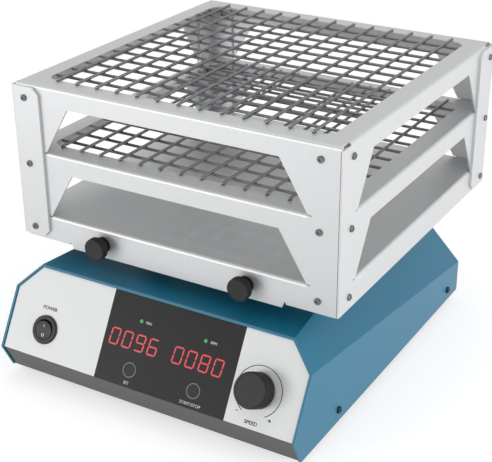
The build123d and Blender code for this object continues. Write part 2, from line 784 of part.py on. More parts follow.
# main bearing housing
bearing_outer = 35.0
bearing_height = 11.0
main_low = deck_low - 38
main_high = base_top + 1
main = tube(0, drive_y, main_low, main_high, main_tube, bearing_outer + running_gap)
main += tube(0, drive_y, deck_low - 5, deck_low, main_tube + 26, bearing_outer + running_gap)
main += tube(0, drive_y, main_low + bearing_height + 1, main_high - bearing_height - 3, main_tube, 27)
main_bolts = []
for k in range(4):
    turn = math.radians(45 + 90 * k)
    x = (main_tube / 2 + 7) * math.cos(turn)
    y = drive_y + (main_tube / 2 + 7) * math.sin(turn)
    deck -= rod(x, y, deck_low - 1, deck_top + 1, 5.4)
    main -= rod(x, y, deck_low - 6, deck_low + 1, 5.4)
    bolt = rod(x, y, deck_top, deck_top + 3, 8.5) + rod(x, y, deck_low - 5.5, deck_top, 5)
    nut = Pos(x, y) * hexagon(8, deck_low - 9, deck_low - 5) - rod(x, y, 0, 99, 5.2)
    main_bolts += [bolt, nut]
save(main, "main_housing")
bearings = []
for low in (main_low + 1, main_high - bearing_height - 2):
    high = low + bearing_height
    bearing = tube(0, drive_y, low, high, bearing_outer, shaft_diameter + 2 * running_gap)
    bearing -= tube(0, drive_y, high - 0.6, high + 1, bearing_outer - 6, shaft_diameter + 6)
    bearing -= tube(0, drive_y, low - 1, low + 0.6, bearing_outer - 6, shaft_diameter + 6)
    bearings.append(bearing)
save(group(bearings), "main_bearings")

# idler housings, bushes and cranks
housings = []
idler_bushes = []
bush_outer = idler_shaft + 5
idler_low = deck_low - 26
for x, y in idlers.values():
    part = tube(x, y, idler_low, base_top + 1, idler_tube, bush_outer + running_gap)
    part += tube(x, y, deck_low - 4, deck_low, idler_tube + 9, bush_outer + running_gap)
    housings.append(part)
    bush = tube(x, y, idler_low, base_top + 2, bush_outer, idler_shaft + 2 * running_gap)
    idler_bushes.append(bush)
save(group(housings), "idler_housings")
save(group(idler_bushes), "idler_bushes")
for name, (x, y) in idlers.items():
    arm = Pos(0, orbit_radius / 2) * SlotCenterToCenter(orbit_radius, idler_shaft + 8, rotation=90)
    crank = Pos(x, y, crank_low) * extrude(arm, idler_web)
    crank += rod(x, y, idler_low - 6, crank_low, idler_shaft)
    crank += rod(x, y + orbit_radius, idler_high, pin_top, idler_pin)
    collar = tube(x, y, idler_low - 5, idler_low - 0.4, idler_shaft + 8, idler_shaft + running_gap)
    save(group([crank, collar]), "idler_crank_" + name)

# drive crank, counterweight and pulleys
belt_z = floor + 20
crank = rod(0, drive_y, crank_low, crank_high, crank_disc)
crank = chamfer(crank.edges().filter_by(GeomType.CIRCLE), 0.8)
crank += rod(0, drive_y, belt_z - 9, crank_low, shaft_diameter)
crank += rod(0, 0, crank_high, hub_low + 0.6, crank_pin + 4)
crank += rod(0, 0, crank_high, pin_top, crank_pin)
save(crank, "drive_crank")
weight_low = belt_z + belt_width / 2 + 4
weight_high = main_low - 4
sector = Circle(50) & Pos(0, -25 - 4) * Rectangle(110, 50)
sector += Circle(shaft_diameter / 2 + 7)
weight = Pos(0, drive_y, weight_low) * extrude(sector, weight_high - weight_low)
weight -= rod(0, drive_y, 0, 99, shaft_diameter + running_gap)
save(weight, "counterweight")
motor_y = drive_y + motor_offset


def pulley(x, y, diameter, bore, holes):
    wheel = rod(x, y, belt_z - belt_width / 2 - 0.3, belt_z + belt_width / 2 + 0.3, diameter)
    for side in (-1, 1):
        z = belt_z + side * (belt_width / 2 + 0.9)
        wheel += rod(x, y, z - 0.6, z + 0.6, diameter + 4)
    wheel -= rod(x, y, 0, 99, bore + running_gap)
    for k in range(holes):
        turn = 2 * math.pi * k / holes
        reach = diameter * 0.29
        place = (x + reach * math.cos(turn), y + reach * math.sin(turn))
        wheel -= rod(*place, 0, 99, diameter * 0.22)
    return wheel


save(pulley(0, drive_y, big_pulley, shaft_diameter, 5), "drive_pulley")
motor_shaft = 6.0


def loop(grow):
    big = big_pulley / 2 + grow
    small = small_pulley / 2 + grow
    turn = math.acos((big - small) / motor_offset)
    c, s = math.cos(turn), math.sin(turn)
    points = [(big * s, big * c), (small * s, motor_offset + small * c)]
    points += [(-small * s, motor_offset + small * c), (-big * s, big * c)]
    return Circle(big) + Pos(0, motor_offset) * Circle(small) + Polygon(*points, align=None)


belt = extrude(loop(0.1 + belt_thickness) - loop(0.1), belt_width)
save(Pos(0, drive_y, belt_z - belt_width / 2) * belt, "drive_belt")

# motor on a hanging bracket
cradle_low = belt_z + belt_width / 2 + 3.5
cradle_top = cradle_low + 3
wide = motor_diameter / 2 + 5
cradle = block(-wide, wide, motor_y - 22, motor_y + 22, cradle_low, cradle_top)
for sx in (-1, 1):
    x0, x1 = sorted((sx * wide, sx * (wide - 3)))
    cradle += block(x0, x1, motor_y - 22, motor_y + 22, cradle_low, deck_low)
cradle -= rod(0, motor_y, 0, 99, 16.4)
motor = rod(0, motor_y, cradle_top, cradle_top + motor_length, motor_diameter)
motor = chamfer(motor.edges().filter_by(GeomType.CIRCLE), 1)
motor += rod(0, motor_y, cradle_low, cradle_top, 16)
motor -= rod(0, motor_y, 0, cradle_top + 12, motor_shaft + 2 * running_gap)
motor_bolts = []
for k in range(4):
    turn = math.radians(90 * k)
    x = 13 * math.cos(turn)
    y = motor_y + 13 * math.sin(turn)
    cradle -= rod(x, y, cradle_low - 1, cradle_top + 1, 3.4)
    motor -= rod(x, y, cradle_top - 1, cradle_top + 6, 3.2)
    bolt = rod(x, y, cradle_low - 1.8, cradle_low, 5.5) + rod(x, y, cradle_low, cradle_top + 5, 3)
    motor_bolts.append(bolt)
save(deck, "deck_plate")
save(cradle, "motor_bracket")
save(motor, "motor_body")
shaft = rod(0, motor_y, belt_z - 7, cradle_top + 11, motor_shaft)
save(group([pulley(0, motor_y, small_pulley, motor_shaft, 0), shaft]), "motor_pulley")
save(group(main_bolts + motor_bolts), "drive_fasteners")

# power supply and control board on the pan floor
supply_x = base_half_width - 31
supply_width = 42.0
supply_length = 120.0
supply_height = 30.0
supply_wall = 2.0
supply_middle = Pos(supply_x, -50, floor + 4 + supply_height / 2)
case = supply_middle * Box(supply_width, supply_length, supply_height)
hollow = (supply_width - 2 * supply_wall, supply_length - 2 * supply_wall, supply_height - 2 * supply_wall)
case -= supply_middle * Box(*hollow)
for k in range(11):
    case -= Pos(supply_x, -95 + k * 9, floor + 4 + supply_height) * Box(26, 3, 20)
for sx in (-15, 15):
    for y in (-100, 0):
        pan += rod(supply_x + sx, y, floor, floor + 4, 7)
save(case, "power_supply")
board_x = -supply_x
board_top = floor + 8 + board_sheet
board = Pos(board_x, -40, board_top - board_sheet / 2) * Box(44, 110, board_sheet)
for sx in (-17, 17):
    for y in (-88, 8):
        board -= rod(board_x + sx, y, 0, 99, 3.4)
        pan += rod(board_x + sx, y, floor, floor + 8, 6.5)
        pan += rod(board_x + sx, y, floor + 8, board_top + 3, 3)
parts = [board]
for y in (-70, -56, -42):
    parts.append(rod(board_x - 8, y, board_top, board_top + 16, 10))
parts.append(Pos(board_x + 9, -60, board_top + 7) * Box(14, 28, 14))
parts.append(Pos(board_x + 6, -20, board_top + 1.2) * Box(14, 14, 2.4))
parts.append(Pos(board_x - 10, -16, board_top + 5) * Box(8, 24, 10))
save(group(parts), "control_board")
save(pan, "bottom_pan")
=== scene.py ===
import json
import math

import bpy
from mathutils import Matrix, Vector


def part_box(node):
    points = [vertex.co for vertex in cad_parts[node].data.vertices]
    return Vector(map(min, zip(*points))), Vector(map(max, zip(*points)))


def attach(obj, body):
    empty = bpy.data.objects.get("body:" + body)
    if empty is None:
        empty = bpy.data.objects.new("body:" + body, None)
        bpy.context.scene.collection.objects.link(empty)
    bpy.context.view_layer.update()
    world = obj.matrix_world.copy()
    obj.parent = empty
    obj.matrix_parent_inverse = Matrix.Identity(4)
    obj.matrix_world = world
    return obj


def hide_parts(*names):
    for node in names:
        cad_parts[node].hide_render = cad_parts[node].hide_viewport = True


# Orbital shaker: a sloping control base that swings an open sheet-metal rack round a small circle.
# Lengths are in metres; mm turns a size that a maker would read on a drawing into one.
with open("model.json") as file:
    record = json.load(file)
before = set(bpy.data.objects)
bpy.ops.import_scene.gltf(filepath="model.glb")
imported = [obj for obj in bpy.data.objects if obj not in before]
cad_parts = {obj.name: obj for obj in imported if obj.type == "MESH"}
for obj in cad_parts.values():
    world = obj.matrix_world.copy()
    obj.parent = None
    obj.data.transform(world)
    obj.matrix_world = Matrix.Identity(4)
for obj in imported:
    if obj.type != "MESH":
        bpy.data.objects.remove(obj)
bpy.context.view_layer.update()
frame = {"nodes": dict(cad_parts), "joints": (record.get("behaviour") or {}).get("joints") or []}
mm = 0.001

# Camera.
# It stands to the right of the panel at about the distance of a studio tripod, and looks down at the rack.
camera_place = Vector((492.3, -831.5, 567.8)) * mm
camera_tilt = math.radians(64.18)
camera_turn = math.radians(29.92)
bpy.ops.object.camera_add(location=camera_place, rotation=(camera_tilt, 0, camera_turn))
camera = bpy.context.object
camera.data.sensor_width = 36
camera.data.lens = 85.7
camera.data.shift_x = -0.0355
camera.data.shift_y = 0.0043
camera.data.clip_start = 0.01
bpy.context.scene.camera = camera
bpy.context.scene.view_settings.view_transform = "Standard"


# Floor, air and lamps.
# A pale studio floor that keeps a soft shadow, even white air, and soft lamps from the right and the front.
class Signal:
    """A node's output, which can be added and multiplied."""

    def __init__(self, finish, socket):
        self.finish = finish
        self.socket = socket

    def reckon(self, operation, first, second):
        return self.finish.node("ShaderNodeMath", {"operation": operation}, {0: first, 1: second})

    def __add__(self, other):
        return self.reckon("ADD", self, other)

    def __radd__(self, other):
        return self.reckon("ADD", other, self)

    def __mul__(self, other):
        return self.reckon("MULTIPLY", self, other)

    def __rmul__(self, other):
        return self.reckon("MULTIPLY", other, self)


class Finish:
    """A new material made of nodes, or the nodes of something that already has them."""

    def __init__(self, name, nodes=None):
        if nodes is None:
            self.material = bpy.data.materials.new(name)
            self.material.use_nodes = True
            nodes = self.material.node_tree
        self.tree = nodes

    def node(self, kind, settings=None, inputs=None, output=0):
        made = self.tree.nodes.new(kind)
        for key, value in (settings or {}).items():
            setattr(made, key, value)
        for key, value in (inputs or {}).items():
            self.feed(value, made.inputs[key])
        return Signal(self, made.outputs[output])

    def feed(self, value, socket):
        if isinstance(value, Signal):
            self.tree.links.new(value.socket, socket)
        else:
            socket.default_value = value

    def surface(self, **inputs):
        shader = self.tree.nodes["Principled BSDF"]
        for key, value in inputs.items():
            self.feed(value, shader.inputs[key.replace("_", " ")])


def rgb(red, green, blue, alpha=1):
    """A screen colour, given from 0 to 255, as the linear values that a shader takes."""
    shares = [value / 255 for value in (red, green, blue)]
    return (*[s / 12.92 if s < 0.04045 else ((s + 0.055) / 1.055) ** 2.4 for s in shares], alpha)


floor_size = 8
floor_tone = 0.74
floor_lift = 0.6
floor_finish = Finish("studio_floor")
rays = floor_finish.node("ShaderNodeLightPath", output="Is Camera Ray")
rays = rays + floor_finish.node("ShaderNodeLightPath", output="Is Glossy Ray")
rays = rays + floor_finish.node("ShaderNodeLightPath", output="Is Transmission Ray")
matte = floor_finish.node("ShaderNodeBsdfDiffuse", inputs={"Color": (floor_tone, floor_tone, floor_tone, 1)})
lift = floor_finish.node("ShaderNodeEmission", inputs={"Color": (1, 1, 1, 1), "Strength": floor_lift * rays})
both = floor_finish.node("ShaderNodeAddShader", inputs={0: matte, 1: lift})
floor_finish.feed(both, floor_finish.tree.nodes["Material Output"].inputs["Surface"])
bpy.ops.mesh.primitive_plane_add(size=floor_size, location=(0, 0, 0))
floor = bpy.context.object
floor.name = "studio_floor"
floor.data.materials.append(floor_finish.material)

air_light = 0.43
air_seen = 0.62
air_mirrored = 0.47
world = bpy.data.worlds.new("studio_air")
world.use_nodes = True
bpy.context.scene.world = world
air = Finish("studio_air", world.node_tree)
rays = air.node("ShaderNodeLightPath", output="Is Camera Ray")
rays = rays + air.node("ShaderNodeLightPath", output="Is Transmission Ray")
mirrored = air.node("ShaderNodeLightPath", output="Is Glossy Ray")
air.feed((1, 1, 1, 1), world.node_tree.nodes["Background"].inputs["Color"])
strength = air_light + air_seen * rays + air_mirrored * mirrored
air.feed(strength, world.node_tree.nodes["Background"].inputs["Strength"])


def lamp(name, place, aim, width, height, power):
    """A rectangular area lamp that faces its aim."""
    bpy.ops.object.light_add(type="AREA", location=place)
    made = bpy.context.object
    made.name = name
    made.data.shape = "RECTANGLE"
    made.data.size = width
    made.data.size_y = height
    made.data.energy = power
    made.rotation_euler = (Vector(aim) - Vector(place)).to_track_quat("-Z", "Y").to_euler()


lamp("right_window", (2.0, 0.15, 0.42), aim=(0, 0, 0.14), width=1.6, height=0.8, power=22)
lamp("front_window", (-1.0, -1.75, 0.36), aim=(0, 0, 0.1), width=1.0, height=0.6, power=13)
lamp("ceiling_panel", (-0.3, 0.2, 2.2), aim=(0, 0, 0.1), width=1.6, height=1.6, power=5)


# Feet and bottom pan.
# Moulded rubber feet screwed through a folded steel pan, painted grey, whose front edge shows as a strip.
def alone(*pieces):
    """Selects only these pieces, with the first one active."""
    bpy.ops.object.select_all(action="DESELECT")
    for piece in pieces:
        piece.select_set(True)
    bpy.context.view_layer.objects.active = pieces[0]


def dress(finish, *nodes):
    """Gives CAD nodes their finish."""
    for name in nodes:
        mesh = frame["nodes"][name].data
        mesh.materials.clear()
        mesh.materials.append(finish.material)


def between(finish, share, first, second):
    """A colour between two colours."""
    return finish.node("ShaderNodeMix", {"data_type": "RGBA"}, {0: share, 6: first, 7: second}, 2)


def shade(colour, factor):
    """A lighter or darker version of a colour."""
    return (*[value * factor for value in colour[:3]], 1)


def cloud(finish, scale, detail=3.0, stretch=(1, 1, 1)):
    """Noise from 0 to 1 in the piece's own coordinates; scale counts its features over a metre."""
    place = finish.node("ShaderNodeTexCoord", output="Object")
    place = finish.node("ShaderNodeMapping", inputs={"Vector": place, "Scale": stretch})
    inputs = {"Vector": place, "Scale": scale, "Detail": detail}
    return finish.node("ShaderNodeTexNoise", inputs=inputs)


def relief(finish, height, depth):
    """Fine bumps of this depth where the height signal rises."""
    return finish.node("ShaderNodeBump", inputs={"Height": height, "Distance": depth, "Strength": 1.0})


def painted(name, colour, roughness, peel=900.0, peel_depth=0.02 * mm, mottle=0.06, gloss=0.5):
    """Sprayed and baked paint: even colour, a fine orange peel and slightly uneven gloss."""
    finish = Finish(name)
    broad = cloud(finish, 9.0, 4.0)
    fine = cloud(finish, peel, 2.0)
    body = between(finish, broad, shade(colour, 1 - mottle), shade(colour, 1 + mottle))
    finish.surface(
        Base_Color=body,
        Roughness=roughness - 0.05 + 0.1 * broad,
        Specular_IOR_Level=gloss,
        Normal=relief(finish, fine, peel_depth),
    )
    return finish


def worked(name, colour, roughness, grain=700.0, stretch=(1, 1, 1), depth=0.01 * mm):
    """Bare metal: machining or rolling marks that vary its colour, gloss and height."""
    finish = Finish(name)
    marks = cloud(finish, grain, 4.0, stretch)
    broad = cloud(finish, 14.0, 3.0)
    body = between(finish, marks, shade(colour, 0.88), shade(colour, 1.1))
    finish.surface(
        Base_Color=between(finish, broad * 0.5, body, shade(colour, 0.9)),
        Roughness=roughness - 0.08 + 0.1 * marks + 0.06 * broad,
        Metallic=1.0,
        Normal=relief(finish, marks, depth),
    )
    return finish


pan_paint = painted("pan_paint", rgb(86, 87, 88), 0.5)
rubber = painted("foot_rubber", rgb(34, 34, 35), 0.8, peel=1500.0, mottle=0.12)
zinc = worked("zinc_plate", rgb(182, 184, 180), 0.34, grain=160.0)
dress(pan_paint, "bottom_pan")
dress(rubber, "rubber_feet")
dress(zinc, "pan_screws", "pan_nuts")

# Drive.
# A deck plate on four columns carries the main bearing, four idler bearings and the hanging motor.
# The parts are turned steel, cast aluminium, cast iron, sintered bronze and a ribbed rubber belt.
cast_aluminium = worked("cast_aluminium", rgb(176, 178, 180), 0.46, grain=420.0, depth=0.03 * mm)
ground_steel = worked("ground_steel", rgb(186, 187, 190), 0.22, grain=260.0, stretch=(1, 1, 12))
bronze = worked("sintered_bronze", rgb(178, 142, 92), 0.42, grain=1100.0)
iron = worked("cast_iron", rgb(84, 85, 88), 0.66, grain=500.0, depth=0.08 * mm)
belt_rubber = painted("belt_rubber", rgb(38, 38, 40), 0.7, peel=1300.0)
dress(zinc, "deck_plate", "deck_columns", "drive_fasteners", "motor_bracket")
dress(cast_aluminium, "main_housing", "idler_housings", "drive_pulley", "motor_pulley", "carriage_hubs")
dress(ground_steel, "main_bearings", "pin_bearing", "drive_crank")
corners = ("front_left", "front_right", "back_left", "back_right")
dress(ground_steel, *["idler_crank_" + corner for corner in corners])
dress(bronze, "idler_bushes")
dress(iron, "counterweight")
dress(belt_rubber, "drive_belt")
dress(painted("motor_enamel", rgb(62, 64, 68), 0.4), "motor_body")

# Electrics inside the base.
# A perforated supply case and a green board with its components stand on studs of the pan.
board_green = painted("solder_mask", rgb(34, 92, 58), 0.36, peel=400.0, mottle=0.2)
dress(board_green, "control_board", "display_board")
dress(zinc, "power_supply", "encoder_body")
dress(worked("plated_brass", rgb(206, 176, 106), 0.3), "terminals")

# Housing.
# One folded steel sheet covers the top and both sides; it is powder coated teal with a satin gloss.
teal_tone = rgb(16, 114, 146)
black_tone = rgb(34, 34, 35)
coarse = 0.03 * mm
teal = painted("teal_powder_coat", teal_tone, 0.36, peel=1100.0, peel_depth=coarse, mottle=0.05)
dress(teal, "housing_shell", "rear_panel")
black_plastic = painted(
    "black_plastic", black_tone, 0.46, peel=1600.0, peel_depth=coarse, mottle=0.1, gloss=0.35
)
dress(black_plastic, "mains_inlet")
dress(worked("blackened_steel", rgb(52, 53, 55), 0.4), "side_screws")

# Control panel.
# A white printed plate set into the sloping front, with its words in near black.
# Places on it are measured across from the middle and up the slope from its lower edge.
turn = next(joint for joint in frame["joints"] if joint["name"] == "speed_turn")
outward = Vector(turn["axis"])
upslope = outward.cross(Vector((1, 0, 0)))
knob_over_edge = 31.0 * mm
panel_corner = Vector(turn["pos_m"]) - upslope * knob_over_edge
panel_corner.x = 0
slope = Matrix((Vector((1, 0, 0)), upslope, outward)).transposed().to_4x4()
slope.translation = panel_corner


def settle(piece, name, body, slot, finish, place=Matrix()):
    """Puts a finished piece in its place in the frame, paints it, and lets it ride on its body."""
    alone(piece)
    piece.matrix_world = place @ piece.matrix_world
    bpy.ops.object.transform_apply(location=True, rotation=True, scale=True)
    piece.name = name
    piece.data.name = name
    piece.data.materials.clear()
    piece.data.materials.append(finish.material)
    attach(piece, body)
    return piece


def word(name, text, spot, cap_height, carrier, finish, width=None, weight=0.03, place=slope, out=0.0):
    """A printed word, a few hundredths of a millimetre thick, centred on its spot.

    Its carrier is a body and a slot, and its weight thickens the letters by a share of their height.
    """
    bpy.ops.object.select_all(action="DESELECT")
    bpy.ops.object.text_add(location=(0, 0, 0))
    piece = bpy.context.object
    piece.data.body = text
    piece.data.align_x = "CENTER"
    piece.data.align_y = "CENTER"
    piece.data.size = cap_height / capital_share
    piece.data.extrude = print_thickness / 2
    piece.data.resolution_u = 4
    piece.data.offset = weight * cap_height
    bpy.ops.object.convert(target="MESH")
    piece = bpy.context.object
    low = Vector([min(corner[k] for corner in piece.bound_box) for k in range(3)])
    high = Vector([max(corner[k] for corner in piece.bound_box) for k in range(3)])
    squeeze = width / (high.x - low.x) if width else 1
    piece.scale.x = squeeze
    centre = (low + high) / 2
    piece.location = (spot[0] - centre.x * squeeze, spot[1] - centre.y, out + print_thickness / 2)
    return settle(piece, name, *carrier, finish, place)


capital_share = 0.69
print_thickness = 0.05 * mm
panel_tone = rgb(247, 249, 249)
panel_white = painted("panel_white", panel_tone, 0.55, peel=1400.0, peel_depth=0.01 * mm, mottle=0.015)
dark_print = painted("dark_print", rgb(26, 28, 31), 0.6, mottle=0.1, gloss=0.2)
switch_x = -105.7 * mm
knob_x = Vector(turn["pos_m"]).x
dress(panel_white, "control_panel")
word_height = 2.9 * mm
mark_height = 3.4 * mm
panel_words = (
    ("word_power", "POWER", (switch_x, 43.5 * mm), word_height, 15.2 * mm, 0.03),
    ("word_speed", "SPEED", (knob_x, 5.0 * mm), word_height, 11.6 * mm, 0.03),
    ("mark_plus", "+", (knob_x + 15.2 * mm, 10.9 * mm), mark_height, None, 0.05),
    ("mark_minus", "-", (knob_x - 14.4 * mm, 11.1 * mm), mark_height, None, 0.05),
)
for name, text, spot, cap_height, width, weight in panel_words:
    word(name, text, spot, cap_height, ("base", "panel_white"), dark_print, width, weight)

# Speed scale.
# A thin printed line that runs most of the way round the knob, open at the foot.
scale_radius = 20.8 * mm
scale_line = 0.6 * mm
scale_half_turn = math.radians(149)
scale_up = 30.2 * mm
scale_corners = 180
bpy.ops.object.select_all(action="DESELECT")
bpy.ops.mesh.primitive_circle_add(vertices=scale_corners, radius=scale_radius, fill_type="NOTHING")
scale = bpy.context.object
bpy.ops.object.mode_set(mode="EDIT")
bpy.ops.mesh.select_all(action="SELECT")
shrink = 1 - scale_line / scale_radius
bpy.ops.mesh.extrude_edges_move()
bpy.ops.transform.resize(value=(shrink, shrink, 1))


def choose(piece, rule, kind="FACE"):
    """Selects the faces, edges or points that the rule accepts, and leaves the piece in edit mode."""
    bpy.ops.object.mode_set(mode="EDIT")
    bpy.ops.mesh.select_mode(type=kind)
    bpy.ops.mesh.select_all(action="DESELECT")
    bpy.ops.object.mode_set(mode="OBJECT")
    sorts = {"FACE": piece.data.polygons, "EDGE": piece.data.edges, "VERT": piece.data.vertices}
    for element in sorts[kind]:
        element.select = rule(element)
    bpy.ops.object.mode_set(mode="EDIT")


def finish_with(piece, kind, **settings):
    """Adds a modifier and applies it."""
    alone(piece)
    modifier = piece.modifiers.new(kind.lower(), kind)
    for key, value in settings.items():
        setattr(modifier, key, value)
    bpy.ops.object.modifier_apply(modifier=modifier.name)


choose(scale, lambda face: abs(math.atan2(face.center.x, face.center.y)) > scale_half_turn)
bpy.ops.mesh.delete(type="FACE")
bpy.ops.mesh.select_all(action="SELECT")
bpy.ops.mesh.normals_make_consistent(inside=False)
bpy.ops.object.mode_set(mode="OBJECT")
finish_with(scale, "SOLIDIFY", thickness=print_thickness, offset=0)
scale.location = (knob_x, scale_up, print_thickness)
settle(scale, "speed_scale", "base", "panel_white", dark_print, slope)

# Display window.
# A smoked plastic window over two four-digit displays, two lamps and two round keys.
smoke = rgb(33, 33, 34)
polish = 0.004 * mm
window_black = painted("smoked_window", smoke, 0.45, peel=500.0, peel_depth=polish, mottle=0.05, gloss=0.2)
dress(window_black, "display_window")


def lit(name, colour, glow):
    """Plastic that gives off its own colour."""
    finish = painted(name, colour, 0.35, peel=600.0, mottle=0.04)
    finish.surface(Emission_Color=colour, Emission_Strength=glow)
    return finish


digit_red = lit("digit_red", rgb(198, 36, 46), 0.5)
lamp_green = lit("lamp_green", rgb(48, 140, 66), 0.4)
ring_grey = painted("ring_grey", rgb(136, 139, 141), 0.5, gloss=0.2)
white_print = painted("white_print", rgb(236, 237, 238), 0.5)
key_plastic = painted("key_plastic", rgb(40, 40, 41), 0.42, peel=1400.0, mottle=0.08, gloss=0.2)
dress(lamp_green, "indicator_lamps")
dress(ring_grey, "key_rings")
dress(key_plastic, "key_set", "key_start")


def middle(node):
    """The middle of a CAD node's box."""
    low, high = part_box(node)
    return (low + high) / 2


set_key = middle("key_set").x
start_key = middle("key_start").x
lamp_up = 55.9 * mm
key_word_up = 3.5 * mm
lamp_word_height = 2.2 * mm
key_word_height = 2.4 * mm
window_words = (
    ("word_minutes", "MIN", (set_key + 7.3 * mm, lamp_up), lamp_word_height, None),
    ("word_rpm", "RPM", (start_key + 7.6 * mm, lamp_up), lamp_word_height, None),
    ("word_set", "SET", (set_key, key_word_up), key_word_height, None),
    ("word_start", "START/STOP", (start_key, key_word_up), key_word_height, 19.7 * mm),
)
for name, text, spot, cap_height, width in window_words:
    word(name, text, spot, cap_height, ("base", "ring_light"), white_print, width, weight=0)

# Display digits.
# Two four-digit seven-segment displays: thin red bars with pointed ends, leaned five degrees.
# The dark bars behind them fill the window flush, and the lit ones stand a hair above it.
digit_height = 14.6 * mm
digit_width = 9.2 * mm
digit_pitch = 12.7 * mm
digit_lean = math.radians(5)
bar_width = 1.3 * mm
bar_gap = 0.35 * mm
bar_bevel = 0.48 * bar_width
minutes_x = -16.4 * mm
speed_x = 46.4 * mm
digits_up = 38 * mm
bars_of = {"0": "abcdef", "6": "acdefg", "8": "abcdefg", "9": "abcdfg"}
side_x = (digit_width - bar_width) / 2
row_y = (digit_height - bar_width) / 2
upright = math.radians(90)
bar_spots = {
    "a": (0, row_y, 0),
    "g": (0, 0, 0),
    "d": (0, -row_y, 0),
    "f": (-side_x, row_y / 2, upright),
    "b": (side_x, row_y / 2, upright),
    "e": (-side_x, -row_y / 2, upright),
    "c": (side_x, -row_y / 2, upright),
}


def pointed_bar(length):
    """One flat bar, whose upright edges are bevelled until its ends are nearly points."""
    bpy.ops.object.select_all(action="DESELECT")
    bpy.ops.mesh.primitive_cube_add(size=1)
    piece = bpy.context.object
    piece.scale = (length, bar_width, print_thickness)
    bpy.ops.object.transform_apply(scale=True)

    def is_upright(edge):
        first, second = [piece.data.vertices[k].co for k in edge.vertices]
        return abs(first.z - second.z) > print_thickness / 2

    choose(piece, is_upright, kind="EDGE")
    bpy.ops.mesh.bevel(offset=bar_bevel, segments=1)
    bpy.ops.object.mode_set(mode="OBJECT")
    return piece


def numerals(name, text, x):
    """A row of lit digits."""
    flat_bar = pointed_bar(2 * side_x - bar_gap)
    tall_bar = pointed_bar(row_y - bar_gap)
    copies = []
    for place, figure in enumerate(text):
        for key in bars_of[figure]:
            dx, dy, spin = bar_spots[key]
            source = tall_bar if spin else flat_bar
            bar = bpy.data.objects.new("bar", source.data.copy())
            bpy.context.collection.objects.link(bar)
            start = x + (place - (len(text) - 1) / 2) * digit_pitch
            lean = dy * math.tan(digit_lean)
            bar.location = (start + dx + lean, digits_up + dy, print_thickness)
            bar.rotation_euler = (0, 0, spin - (digit_lean if spin else 0))
            copies.append(bar)
    for source in (flat_bar, tall_bar):
        bpy.data.objects.remove(source)
    alone(*copies)
    bpy.ops.object.transform_apply(location=True, rotation=True)
    bpy.ops.object.join()
    return settle(bpy.context.object, name, "base", "digit_red", digit_red, slope)


numerals("digits_minutes", "0096", minutes_x)
numerals("digits_speed", "0080", speed_x)
dress(window_black, "lit_segments")

# Power switch.
# A snap-in round rocker of black plastic, marked I above and O below in white.
dress(black_plastic, "switch_body", "switch_rocker")
rock = next(joint for joint in frame["joints"] if joint["name"] == "power_rock")
rocker_tilt = math.radians(7)
dish_height = 4.42 * mm
dish_radius = 46 * mm
mark_reach = 4.2 * mm
switch_mark_height = 2.6 * mm
mark_lift = 0.02 * mm
switch_print = ("switch_rocker", "ring_light")
pivot = slope.copy()
pivot.translation = Vector(rock["pos_m"])
rocker = pivot @ Matrix.Rotation(rocker_tilt, 4, "X")
for name, text, side in (("mark_on", "I", 1), ("mark_off", "O", -1)):
    lean = side * mark_reach / dish_radius
    rise = dish_height + dish_radius * (1 - math.cos(lean))
    spot = rocker @ Matrix.Translation((0, side * mark_reach, rise)) @ Matrix.Rotation(lean, 4, "X")
    word(name, text, (0, 0), switch_mark_height, switch_print, white_print, place=spot, out=mark_lift)

# Speed knob.
# Moulded black plastic with a smooth face, a chamfer and fine straight ribs that fingers turn it by.
knob_radius = 14.6 * mm
knob_low = 1.0 * mm
knob_high = 17.0 * mm
rim_share = 1.4
rib_count = 54
rib_height = 0.7 * mm
collar_height = 1.3 * mm
knob_chamfer = 0.7 * mm
knob_dish = 0.25 * mm


def ribbed_disc(radius, low, high, ribs, rib, smooth_band, chamfer, dish):
    """A disc with straight ribs on its side, a smooth band under its face, and a shallow dish in the face.

    A cylinder with two faces to a rib is cut at the smooth band, and every second face below it is raised.
    """
    bpy.ops.object.select_all(action="DESELECT")
    inner = radius - rib
    place = (0, 0, (low + high) / 2)
    bpy.ops.mesh.primitive_cylinder_add(vertices=2 * ribs, radius=inner, depth=high - low, location=place)
    piece = bpy.context.object
    bpy.ops.object.transform_apply(location=True)
    bpy.ops.object.mode_set(mode="EDIT")
    bpy.ops.mesh.select_all(action="SELECT")
    bpy.ops.mesh.bisect(plane_co=(0, 0, high - smooth_band), plane_no=(0, 0, 1))

    def is_rib(face):
        number = round(math.atan2(face.center.y, face.center.x) / math.pi * ribs - 0.5)
        return abs(face.normal.z) < 0.5 and face.center.z < high - smooth_band and number % 2 == 0

    choose(piece, is_rib)
    bpy.ops.mesh.extrude_region_shrink_fatten(TRANSFORM_OT_shrink_fatten={"value": rib})
    choose(piece, lambda face: face.normal.z > 0.5 and face.center.z > high - smooth_band / 2)
    bpy.ops.mesh.inset(thickness=chamfer)
    bpy.ops.mesh.inset(thickness=rim_share * chamfer)
    bpy.ops.mesh.extrude_region_move(TRANSFORM_OT_translate={"value": (0, 0, -dish)})

    def is_outer_rim(point):
        return point.co.z > high - dish / 2 and point.co.xy.length > inner - chamfer / 2

    choose(piece, is_outer_rim, kind="VERT")
    bpy.ops.transform.translate(value=(0, 0, -chamfer))
    bpy.ops.object.mode_set(mode="OBJECT")
    return piece


def ease(piece, angle=35):
    """Shades smooth all but the edges sharper than the angle."""
    alone(piece)
    bpy.ops.object.shade_smooth_by_angle(angle=math.radians(angle))


